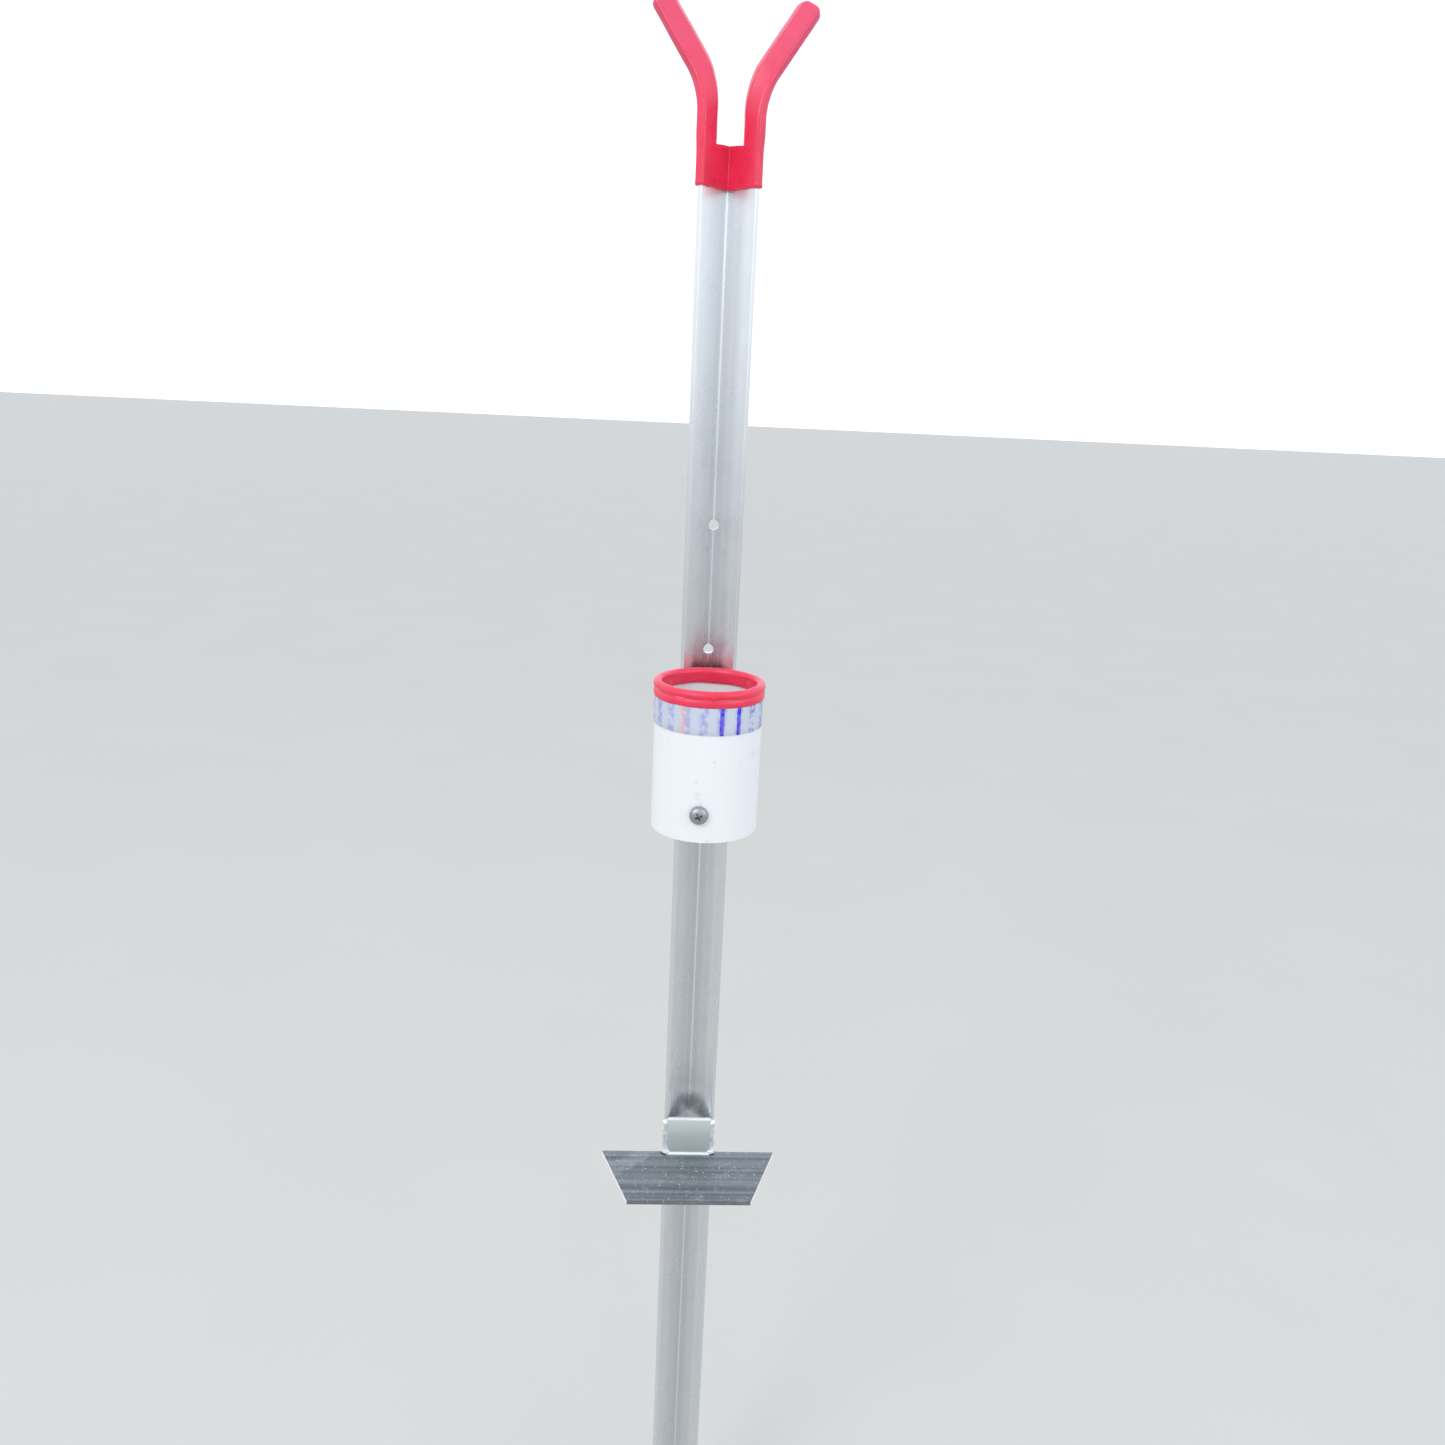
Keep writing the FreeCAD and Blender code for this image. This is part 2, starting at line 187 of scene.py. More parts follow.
def mill_finish_aluminium():
    """6063 angle as it left the extrusion press: fine die lines along its length break up the
    sheen, with duller patches where it has been handled and a few pale rubs across the lines."""
    finish, place = new_finish("mill_finish_aluminium")
    # die lines 0.6 mm apart that run on for about 400 mm
    along = add(finish, "Mapping", {"Vector": place, "Scale": (1, 1, 0.0016)}).outputs[0]
    lines = add(finish, "TexNoise", {"Vector": along, "Scale": 1 / 0.0006, "Detail": 3,
        "Roughness": 0.6}).outputs["Fac"]
    bands = add(finish, "TexNoise", {"Vector": along, "Scale": 1 / 0.0042,
        "Detail": 2}).outputs["Fac"]
    # handling marks some 35 mm long
    clouds = add(finish, "TexNoise", {"Vector": place, "Scale": 1 / 0.035, "Detail": 4,
        "Roughness": 0.55}).outputs["Fac"]
    # rubs across the legs, one every 25 mm or so, kept only where the clouds are thick
    across = add(finish, "Mapping", {"Vector": place, "Scale": (0.12, 0.12, 1)}).outputs[0]
    rubs = add(finish, "TexNoise", {"Vector": across, "Scale": 1 / 0.0025,
        "Detail": 2}).outputs["Fac"]
    rub_lines = add(finish, "MapRange", {"Value": rubs, "From Min": 0.66,
        "From Max": 0.74}).outputs[0]
    rub_where = add(finish, "MapRange", {"Value": clouds, "From Min": 0.52,
        "From Max": 0.62}).outputs[0]
    rubbed = add(finish, "Math", {0: rub_lines, 1: rub_where}, operation="MULTIPLY").outputs[0]
    shade = add(finish, "MapRange", {"Value": bands, "From Min": 0.3, "From Max": 0.7}).outputs[0]
    metal_colour = add(finish, "Mix", {
        "Factor": shade, COLOUR_A: linear("#D8DBDE"),
        COLOUR_B: linear("#E5E6E8")}, data_type="RGBA").outputs[COLOUR_OUT]
    dulling = add(finish, "MapRange", {"Value": clouds, "From Min": 0.35, "From Max": 0.7,
        "To Min": 0.24, "To Max": 0.36}).outputs[0]
    streaked = add(finish, "MapRange", {"Value": lines, "From Min": 0.3, "From Max": 0.7,
        "To Min": -0.025, "To Max": 0.025}).outputs[0]
    sheen = add(finish, "Math", {0: dulling, 1: streaked}, operation="ADD").outputs[0]
    rougher = add(finish, "Math", {0: rubbed, 1: 0.12, 2: sheen},
        operation="MULTIPLY_ADD").outputs[0]
    relief = add(finish, "Math", {0: rubbed, 1: -0.6, 2: lines},
        operation="MULTIPLY_ADD").outputs[0]
    drawn = add(finish, "Bump", {"Strength": 0.14, "Distance": 0.00004,
        "Height": relief}).outputs[0]
    # the welds have left a pale matt frost in the V, behind the step, 24 mm of its length
    spot = add(finish, "SeparateXYZ", {0: place})
    past = add(finish, "Math", {0: spot.outputs["Z"], 1: -(TREAD_TOP + 9) * MM},
        operation="ADD").outputs[0]
    past = add(finish, "Math", {0: past}, operation="ABSOLUTE").outputs[0]
    outside = add(finish, "MapRange", {"Value": past, "From Min": 0.012,
        "From Max": 0.018}).outputs[0]
    aside = add(finish, "Math", {0: spot.outputs["X"]}, operation="ABSOLUTE").outputs[0]
    depth = add(finish, "Math", {0: aside, 1: spot.outputs["Y"]}, operation="ADD").outputs[0]
    back = add(finish, "MapRange", {"Value": depth, "From Min": VALLEY * 0.97 * MM,
        "From Max": VALLEY * 0.9 * MM}).outputs[0]
    bare = add(finish, "Math", {0: outside, 1: back}, operation="MAXIMUM").outputs[0]
    bare = add(finish, "MapRange", {"Value": bare, "To Min": 0.3}).outputs[0]
    frosted = add(finish, "MapRange", {"Value": bare, "From Min": 0.3, "To Min": 0.6,
        "To Max": 0.0}).outputs[0]
    rougher = add(finish, "Math", {0: rougher, 1: frosted}, operation="MAXIMUM").outputs[0]
    surface = add(finish, "BsdfPrincipled", {"Base Color": metal_colour, "Metallic": bare,
        "Roughness": rougher, "Normal": drawn})
    add(finish, "OutputMaterial", {"Surface": surface.outputs[0]})
    return finish


def scuffed_step_aluminium():
    """Extruded angle that has been stood on: coloured a darker grey in bands along the tread, and
    light scratches and specks where boots and sand have cut through it."""
    finish, place = new_finish("scuffed_step_aluminium")
    # extrusion bands 5 mm wide along the step, and finer lines between them
    along = add(finish, "Mapping", {"Vector": place, "Scale": (0.01, 1, 1)}).outputs[0]
    bands = add(finish, "TexNoise", {"Vector": along, "Scale": 1 / 0.005, "Detail": 3,
        "Roughness": 0.65}).outputs["Fac"]
    lines = add(finish, "TexNoise", {"Vector": along, "Scale": 1 / 0.0008,
        "Detail": 2}).outputs["Fac"]
    # scratches a few millimetres long at all angles: the edges of cells laid over a noise of
    # 18 mm, so that they follow its contours
    bent = add(finish, "TexNoise", {"Vector": place, "Scale": 1 / 0.018,
        "Detail": 2}).outputs["Color"]
    swirled = add(finish, "Mix", {"Factor": 0.03, VECTOR_A: bent},
        data_type="VECTOR").outputs[VECTOR_OUT]
    cracks = add(finish, "TexVoronoi", {"Vector": swirled, "Scale": 1 / 0.017},
        feature="DISTANCE_TO_EDGE").outputs["Distance"]
    scratch = add(finish, "MapRange", {"Value": cracks, "From Min": 0.0, "From Max": 0.035,
        "To Min": 1.0, "To Max": 0.0}).outputs[0]
    patch = add(finish, "TexNoise", {"Vector": place, "Scale": 1 / 0.022,
        "Detail": 3}).outputs["Fac"]
    where = add(finish, "MapRange", {"Value": patch, "From Min": 0.54, "From Max": 0.62}).outputs[0]
    cut = add(finish, "Math", {0: scratch, 1: where}, operation="MULTIPLY").outputs[0]
    # specks about half a millimetre across
    grains = add(finish, "TexNoise", {"Vector": place, "Scale": 1 / 0.0011,
        "Detail": 1}).outputs["Fac"]
    specks = add(finish, "MapRange", {"Value": grains, "From Min": 0.7,
        "From Max": 0.76}).outputs[0]
    worn = add(finish, "Math", {0: cut, 1: specks}, operation="MAXIMUM").outputs[0]
    shade = add(finish, "MapRange", {"Value": bands, "From Min": 0.35, "From Max": 0.65}).outputs[0]
    # the tread's two darker greys, mixed in bands
    dark_tread_tone = add(finish, "Mix", {
        "Factor": shade, COLOUR_A: linear("#666C71"),
        COLOUR_B: linear("#8B9095")}, data_type="RGBA").outputs[COLOUR_OUT]
    # the tread plate is coloured darker than the root and the upright leg, which stay near their mill
    # colour
    level = add(finish, "SeparateXYZ", {0: place}).outputs["Z"]
    upright = add(finish, "MapRange", {"Value": level, "From Min": (TREAD_TOP + 0.15) * MM,
        "From Max": (TREAD_TOP + 0.7) * MM}).outputs[0]
    tread_and_upright_colour = add(finish, "Mix", {
        "Factor": upright, COLOUR_A: dark_tread_tone,
        COLOUR_B: linear("#D9E0DE")}, data_type="RGBA").outputs[COLOUR_OUT]
    metal_colour = add(finish, "Mix", {
        "Factor": worn, COLOUR_A: tread_and_upright_colour,
        COLOUR_B: linear("#E8EBEE")}, data_type="RGBA").outputs[COLOUR_OUT]
    sheen = add(finish, "MapRange", {"Value": lines, "From Min": 0.3, "From Max": 0.7,
        "To Min": 0.38, "To Max": 0.52}).outputs[0]
    relief = add(finish, "Math", {0: worn, 1: -0.8, 2: lines}, operation="MULTIPLY_ADD").outputs[0]
    drawn = add(finish, "Bump", {"Strength": 0.3, "Distance": 0.00006, "Height": relief}).outputs[0]
    # the back of the upright leg, closed in between the welds, is frosted a pale matt grey
    depth = add(finish, "SeparateXYZ", {0: place}).outputs["Y"]
    bare = add(finish, "MapRange", {"Value": depth, "From Min": (TOE_FRONT - 0.9) * MM,
        "From Max": (TOE_FRONT - 0.3) * MM, "To Min": 1.0,
        "To Max": 0.15}).outputs[0]
    surface = add(finish, "BsdfPrincipled", {"Base Color": metal_colour, "Metallic": bare,
        "Roughness": sheen, "Normal": drawn})
    add(finish, "OutputMaterial", {"Surface": surface.outputs[0]})
    return finish


def sawn_aluminium():
    """Cut ends left from the saw: bright, with fine marks across that scatter the light."""
    finish, place = new_finish("sawn_aluminium")
    # saw marks 0.7 mm apart
    marks = add(finish, "TexNoise", {"Vector": place, "Scale": 1 / 0.0007,
        "Detail": 3}).outputs["Fac"]
    bright_colour = add(finish, "Mix", {
        "Factor": marks, COLOUR_A: linear("#EDF0F2"),
        COLOUR_B: linear("#FAFBFC")}, data_type="RGBA").outputs[COLOUR_OUT]
    cut = add(finish, "Bump", {"Strength": 0.4, "Distance": 0.00008, "Height": marks}).outputs[0]
    sheen = add(finish, "MapRange", {"Value": marks, "To Min": 0.5, "To Max": 0.7}).outputs[0]
    surface = add(finish, "BsdfPrincipled", {"Base Color": bright_colour, "Metallic": 0.75,
        "Roughness": sheen, "Normal": cut})
    add(finish, "OutputMaterial", {"Surface": surface.outputs[0]})
    return finish


def bright_weld_metal():
    """Aluminium weld bead, still bright, a little frosted, with soot-grey specks in its folds."""
    finish, place = new_finish("bright_weld_metal")
    # frost on the frozen puddles, grains of 0.5 mm, and soot in patches of 4 mm
    frost = add(finish, "TexNoise", {"Vector": place, "Scale": 1 / 0.0005,
        "Detail": 3}).outputs["Fac"]
    soot = add(finish, "TexNoise", {"Vector": place, "Scale": 1 / 0.004,
        "Detail": 3}).outputs["Fac"]
    dirty = add(finish, "MapRange", {"Value": soot, "From Min": 0.5, "From Max": 0.72}).outputs[0]
    metal_colour = add(finish, "Mix", {
        "Factor": dirty, COLOUR_A: linear("#F6F8F9"),
        COLOUR_B: linear("#CDD1D4")}, data_type="RGBA").outputs[COLOUR_OUT]
    sheen = add(finish, "MapRange", {"Value": frost, "To Min": 0.36, "To Max": 0.56}).outputs[0]
    rough = add(finish, "Bump", {"Strength": 0.3, "Distance": 0.0001, "Height": frost}).outputs[0]
    surface = add(finish, "BsdfPrincipled", {"Base Color": metal_colour, "Metallic": 0.85,
        "Roughness": sheen, "Normal": rough})
    add(finish, "OutputMaterial", {"Surface": surface.outputs[0]})
    return finish


def dipped_red_vinyl():
    """Plastisol, dipped hot and cured: a wet-looking red skin, a little uneven in thickness, so
    its highlights wander, and dulled in patches by sand."""
    finish, place = new_finish("dipped_red_vinyl")
    # thickness varies over about 14 mm, and sand has dulled it in patches of 6 mm
    thick = add(finish, "TexNoise", {"Vector": place, "Scale": 1 / 0.014,
        "Detail": 2}).outputs["Fac"]
    sand = add(finish, "TexNoise", {"Vector": place, "Scale": 1 / 0.006, "Detail": 4,
        "Roughness": 0.6}).outputs["Fac"]
    pits = add(finish, "TexNoise", {"Vector": place, "Scale": 1 / 0.0009,
        "Detail": 2}).outputs["Fac"]
    depth = add(finish, "MapRange", {"Value": thick, "From Min": 0.3, "From Max": 0.7}).outputs[0]
    base_red = add(finish, "Mix", {
        "Factor": depth, COLOUR_A: linear("#D82446"),
        COLOUR_B: linear("#E62C52")}, data_type="RGBA").outputs[COLOUR_OUT]
    # painted reflection: from their bends upwards the prongs are painted a paler pink that stands in
    # for the pale sky's sheen on them
    level = add(finish, "SeparateXYZ", {0: place}).outputs["Z"]
    painted_sky_sheen = add(finish, "MapRange", {"Value": level, "From Min": (SLOT_FLOOR + 10) * MM,
        "From Max": (SLOT_FLOOR + 55) * MM, "To Max": 0.55}).outputs[0]
    red_colour = add(finish, "Mix", {
        "Factor": painted_sky_sheen, COLOUR_A: base_red,
        COLOUR_B: linear("#D04A70")}, data_type="RGBA").outputs[COLOUR_OUT]
    sheen = add(finish, "MapRange", {"Value": sand, "From Min": 0.35, "From Max": 0.7,
        "To Min": 0.24, "To Max": 0.42}).outputs[0]
    relief = add(finish, "Math", {0: pits, 1: 0.08, 2: thick}, operation="MULTIPLY_ADD").outputs[0]
    wavy = add(finish, "Bump", {"Strength": 0.3, "Distance": 0.0004, "Height": relief}).outputs[0]
    surface = add(finish, "BsdfPrincipled", {"Base Color": red_colour,
        "Roughness": sheen, "IOR": 1.53,
        "Normal": wavy})
    add(finish, "OutputMaterial", {"Surface": surface.outputs[0]})
    return finish


def extruded_white_pvc():
    """Drain pipe: bright white with a soft shine, faint extrusion lines, a few grey rubs."""
    finish, place = new_finish("extruded_white_pvc")
    # extrusion lines 1.5 mm apart, long in z
    along = add(finish, "Mapping", {"Vector": place, "Scale": (1, 1, 0.03)}).outputs[0]
    lines = add(finish, "TexNoise", {"Vector": along, "Scale": 1 / 0.0015,
        "Detail": 2}).outputs["Fac"]
    # rubs of 9 mm, kept only at their darkest
    clouds = add(finish, "TexNoise", {"Vector": place, "Scale": 1 / 0.009, "Detail": 5,
        "Roughness": 0.7}).outputs["Fac"]
    rubs = add(finish, "MapRange", {"Value": clouds, "From Min": 0.62, "From Max": 0.8}).outputs[0]
    white_colour = add(finish, "Mix", {
        "Factor": rubs, COLOUR_A: linear("#E0E2E4"),
        COLOUR_B: linear("#B8BEC5")}, data_type="RGBA").outputs[COLOUR_OUT]
    sheen = add(finish, "MapRange", {"Value": clouds, "To Min": 0.26, "To Max": 0.5}).outputs[0]
    drawn = add(finish, "Bump", {"Strength": 0.15, "Distance": 0.0001, "Height": lines}).outputs[0]
    surface = add(finish, "BsdfPrincipled", {"Base Color": white_colour, "Roughness": sheen,
        "IOR": 1.53, "Normal": drawn})
    add(finish, "OutputMaterial", {"Surface": surface.outputs[0]})
    return finish


def prismatic_silver_tape():
    """Reflective film pressed with rows of tiny prisms: silver, with blue-violet strips painted where
    a row would turn the light, a fine grid over all, and a faint orange reflection painted on one
    side."""
    finish, place = new_finish("prismatic_silver_tape")
    spot = add(finish, "SeparateXYZ", {0: place})
    depth = add(finish, "Math", {0: spot.outputs["Y"], 1: -CUP_AXIS_Y * MM},
        operation="ADD").outputs[0]
    ahead = add(finish, "Math", {0: depth, 1: -1.0}, operation="MULTIPLY").outputs[0]
    turn = add(finish, "Math", {0: spot.outputs["X"], 1: ahead}, operation="ARCTAN2").outputs[0]
    row_turn = PRISM_ROW / CUP_RADIUS
    rows = add(finish, "Math", {0: turn, 1: 1 / row_turn, 2: -0.65},
        operation="MULTIPLY_ADD").outputs[0]
    number = add(finish, "Math", {0: rows, 1: 0.5}, operation="ADD").outputs[0]
    number = add(finish, "Math", {0: number}, operation="FLOOR").outputs[0]
    offset = add(finish, "Math", {0: rows, 1: number}, operation="SUBTRACT").outputs[0]
    near = add(finish, "Math", {0: offset}, operation="ABSOLUTE").outputs[0]
    # painted reflection: two rows are painted as turning the light strongly, in strips 2.6 mm wide;
    # the others only in broken patches
    strong = add(finish, "Math", {0: number, 1: 0.5, 2: 0.6}, operation="COMPARE").outputs[0]
    strip = add(finish, "MapRange", {"Value": near, "From Min": 0.1, "From Max": 0.16,
        "To Min": 1.0, "To Max": 0.0}).outputs[0]
    strip = add(finish, "Math", {0: strip, 1: strong}, operation="MULTIPLY").outputs[0]
    patch = add(finish, "TexNoise", {"Vector": place, "Scale": 1 / 0.0032,
        "Detail": 2}).outputs["Fac"]
    broken = add(finish, "MapRange", {"Value": patch, "From Min": 0.38, "From Max": 0.6}).outputs[0]
    worn = add(finish, "Math", {0: broken, 1: 0.25, 2: 0.75}, operation="MULTIPLY_ADD").outputs[0]
    strip = add(finish, "Math", {0: strip, 1: worn}, operation="MULTIPLY").outputs[0]
    luck = add(finish, "TexWhiteNoise", {"W": number}, noise_dimensions="1D").outputs["Value"]
    power = add(finish, "MapRange", {"Value": luck, "To Min": 0.35, "To Max": 0.65}).outputs[0]
    wide = add(finish, "MapRange", {"Value": near, "From Min": 0.14, "From Max": 0.32,
        "To Min": 1.0, "To Max": 0.0}).outputs[0]
    wide = add(finish, "Math", {0: wide, 1: power}, operation="MULTIPLY").outputs[0]
    wide = add(finish, "Math", {0: wide, 1: broken}, operation="MULTIPLY").outputs[0]
    # painted reflection: the blue-violet glints of the prisms, fixed into the film's colour
    glow = add(finish, "Math", {0: strip, 1: wide}, operation="MAXIMUM").outputs[0]
    # the grid of prisms
    column = add(finish, "Math", {0: turn, 1: CUP_RADIUS / PRISM_GRID * 2 * pi},
        operation="MULTIPLY").outputs[0]
    storey = add(finish, "Math", {0: spot.outputs["Z"], 1: 2 * pi / (PRISM_GRID * MM)},
        operation="MULTIPLY").outputs[0]
    column = add(finish, "Math", {0: column}, operation="SINE").outputs[0]
    storey = add(finish, "Math", {0: storey}, operation="SINE").outputs[0]
    cells = add(finish, "Math", {0: column, 1: storey}, operation="MULTIPLY").outputs[0]
    lit = add(finish, "MapRange", {"Value": cells, "From Min": -1.0}).outputs[0]
    silver_colour = add(finish, "Mix", {
        "Factor": lit, COLOUR_A: linear("#BCC4D6"),
        COLOUR_B: linear("#D6DEEA")}, data_type="RGBA").outputs[COLOUR_OUT]
    # the silver with the painted blue-violet reflections mixed in
    painted_glint_colour = add(finish, "Mix", {
        "Factor": glow, COLOUR_A: silver_colour,
        COLOUR_B: linear("#4026DC")}, data_type="RGBA").outputs[COLOUR_OUT]
    # painted reflection: a faint orange tint on one side of the band
    orange_at = add(finish, "MapRange", {"Value": turn, "From Min": -0.62,
        "From Max": -0.5}).outputs[0]
    orange_end = add(finish, "MapRange", {"Value": turn, "From Min": -0.5, "From Max": -0.4,
        "To Min": 1.0, "To Max": 0.0}).outputs[0]
    painted_orange_reflection = add(finish, "Math", {0: orange_at, 1: orange_end}, operation="MULTIPLY").outputs[0]
    painted_orange_reflection = add(finish, "Math", {0: painted_orange_reflection, 1: patch}, operation="MULTIPLY").outputs[0]
    film_colour = add(finish, "Mix", {
        "Factor": painted_orange_reflection, COLOUR_A: painted_glint_colour,
        COLOUR_B: linear("#F0B7A0")}, data_type="RGBA").outputs[COLOUR_OUT]
    pressed = add(finish, "Bump", {"Strength": 0.2, "Distance": 0.00008,
        "Height": cells}).outputs[0]
    surface = add(finish, "BsdfPrincipled", {"Base Color": film_colour, "Metallic": 0.35,
        "Roughness": 0.3, "Normal": pressed})
    add(finish, "OutputMaterial", {"Surface": surface.outputs[0]})
    return finish


def turned_stainless_steel():
    """A2 fastener steel: rolled and turned, so rings in the shine, with tea-coloured rust specks."""
    finish, place = new_finish("turned_stainless_steel")
    # tool marks 0.25 mm apart, and rust specks of 0.6 mm
    marks = add(finish, "TexNoise", {"Vector": place, "Scale": 1 / 0.00025,
        "Detail": 2}).outputs["Fac"]
    rust = add(finish, "TexNoise", {"Vector": place, "Scale": 1 / 0.0014, "Detail": 4,
        "Roughness": 0.7}).outputs["Fac"]
    stained = add(finish, "MapRange", {"Value": rust, "From Min": 0.62, "From Max": 0.78,
        "To Max": 0.6}).outputs[0]
    metal_colour = add(finish, "Mix", {
        "Factor": stained, COLOUR_A: linear("#9DA2A6"),
        COLOUR_B: linear("#66635F")}, data_type="RGBA").outputs[COLOUR_OUT]
    sheen = add(finish, "MapRange", {"Value": marks, "To Min": 0.32, "To Max": 0.52}).outputs[0]
    turned = add(finish, "Bump", {"Strength": 0.12, "Distance": 0.00003,
        "Height": marks}).outputs[0]
    surface = add(finish, "BsdfPrincipled", {"Base Color": metal_colour, "Metallic": 1.0,
        "Roughness": sheen, "Normal": turned})
    add(finish, "OutputMaterial", {"Surface": surface.outputs[0]})
    return finish


def moulded_blue_nylon():
    """The lock nut's ring: waxy nylon, dyed blue, scored where the thread has bitten."""
    finish, place = new_finish("moulded_blue_nylon")
    # mottling of 0.8 mm
    mottle = add(finish, "TexNoise", {"Vector": place, "Scale": 1 / 0.0008,
        "Detail": 3}).outputs["Fac"]
    blue_colour = add(finish, "Mix", {
        "Factor": mottle, COLOUR_A: linear("#1F5FB4"),
        COLOUR_B: linear("#3C7FD0")}, data_type="RGBA").outputs[COLOUR_OUT]
    scored = add(finish, "Bump", {"Strength": 0.3, "Distance": 0.00005,
        "Height": mottle}).outputs[0]
    surface = add(finish, "BsdfPrincipled", {"Base Color": blue_colour,
        "Roughness": 0.42, "IOR": 1.53,
        "Normal": scored})
    add(finish, "OutputMaterial", {"Surface": surface.outputs[0]})
    return finish


# ---- shaping ----

def in_scene(name, mesh):
    """Puts a mesh in metres into the scene as an object."""
    data = bpy.data.meshes.new(name)
    mesh.to_mesh(data)
    mesh.free()
    made = bpy.data.objects.new(name, data)
    bpy.context.scene.collection.objects.link(made)
    return made


def in_metres(mesh):
    """A mesh made in millimetres, scaled, with its faces all turned outwards."""
    mesh.transform(Matrix.Scale(MM, 4))
    bmesh.ops.recalc_face_normals(mesh, faces=mesh.faces)
    return mesh


def piece_from(name, mesh, finish, slot, *stands_for):
    """Makes a piece of the object from a mesh in millimetres."""
    piece = in_scene(name, in_metres(mesh))
    piece.data.materials.append(finish)
    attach(piece, "root")
    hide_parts(*stands_for)
    return piece


def smooth_to(piece, degrees):
    """Shades a piece smooth, apart from edges sharper than this."""
    piece.data.shade_smooth()
    piece.data.set_sharp_from_angle(angle=radians(degrees))


def settle(piece):
    """Turns a piece's modifiers into its mesh."""
    bpy.context.view_layer.update()
    shown = piece.evaluated_get(bpy.context.evaluated_depsgraph_get())
    old, materials = piece.data, list(piece.data.materials)
    piece.data = bpy.data.meshes.new_from_object(shown)
    piece.modifiers.clear()
    piece.data.name = old.name + "_shaped"
    if not piece.data.materials:
        for finish in materials:
            piece.data.materials.append(finish)
    bpy.data.meshes.remove(old)


def cut_from(piece, cutters, crossing=False):
    """Takes the cutters' shapes out of a piece, and removes them. One may cross itself."""
    for cutter in cutters:
        hole = piece.modifiers.new("hole", "BOOLEAN")
        hole.operation, hole.object, hole.solver = "DIFFERENCE", cutter, "EXACT"
        hole.use_self = crossing
    settle(piece)
    for cutter in cutters:
        bpy.data.objects.remove(cutter)


def skin(mesh, rings, closed_loop=False, caps=True):
    """Joins rings of points, as many in each, with quads."""
    made = [[mesh.verts.new(p) for p in ring] for ring in rings]
    spans = list(zip(made, made[1:])) + ([(made[-1], made[0])] if closed_loop else [])
    for low, high in spans:
        for i in range(len(low)):
            j = (i + 1) % len(low)
            mesh.faces.new((low[i], low[j], high[j], high[i]))
    if caps:
        mesh.faces.new(list(reversed(made[0])))
        mesh.faces.new(made[-1])


def anticlockwise(outline):
    area = sum(a[0] * b[1] - b[0] * a[1] for a, b in zip(outline, outline[1:] + outline[:1]))
    return outline if area > 0 else outline[::-1]


def corner_directions(outline, i):
    here = Vector(outline[i])
    before = (here - Vector(outline[i - 1])).normalized()
    after = (Vector(outline[(i + 1) % len(outline)]) - here).normalized()
    return here, before, after


def rounded(outline, radii, steps=5):
    """The outline with each corner turned into an arc. Radii go with the corners as given."""
    points = []
    for i, radius in enumerate(radii):
        here, before, after = corner_directions(outline, i)
        bend = before.cross(after)
        half = abs(atan2(bend, before.dot(after))) / 2
        reach = radius * tan(half)
        normal = Vector((-before.y, before.x)) * (1 if bend > 0 else -1)
        start = here - before * reach
        centre = start + normal * radius
        for k in range(steps + 1):
            turn = 2 * half * k / steps * (1 if bend > 0 else -1)
            points.append(centre + Matrix.Rotation(turn, 2) @ (start - centre))
    return points


def swollen(outline, grow, steps=6):
    """The outline moved outwards, round at its outer corners."""
    outline = anticlockwise(outline)
    points = []
    for i in range(len(outline)):
        here, before, after = corner_directions(outline, i)
        n0, n1 = Vector((before.y, -before.x)), Vector((after.y, -after.x))
        if before.cross(after) > 0:
            sweep = atan2(n0.cross(n1), n0.dot(n1))
            for k in range(steps + 1):
                points.append(here + Matrix.Rotation(sweep * k / steps, 2) @ n0 * grow)
        else:
            points.append(here + (n0 + n1) / (1 + n0.dot(n1)) * grow)
    return points


def post_outline():
    return [(0, 0), (TOE_OUT, -TOE_OUT), (TOE_IN_X, TOE_FRONT), (0, VALLEY), (-TOE_IN_X, TOE_FRONT),
            (-TOE_OUT, -TOE_OUT)]


def inside_post(x, y, room=0.0):
    """True where a point of the plan is in the metal of the post, or within this room of it."""
    reach = (abs(x) - y) / ROOT2
    depth = (-abs(x) - y) / ROOT2
    return -room < depth < WALL + room and -room < reach < LEG_WIDTH + room


def bolt_frame():
    """Turns a fastener made about +Z, seat at zero, to its place on the post's corner."""
    towards_head = Vector((-sin(radians(BOLT_SKEW)), -cos(radians(BOLT_SKEW)), 0))
    turn = UP.rotation_difference(towards_head).to_matrix().to_4x4()
    return Matrix.Translation(UP * BOLT_HEIGHT) @ turn, towards_head


# ---- the post ----

def drill(name, radius, frame_matrix):
    """A cutter the shape of a drilled hole, later removed."""
    mesh = bmesh.new()
    bmesh.ops.create_cone(mesh, cap_ends=True, segments=48, radius1=radius * MM, radius2=radius * MM,
                          depth=DRILL_LENGTH * MM, matrix=frame_matrix)
    return in_scene(name, mesh)


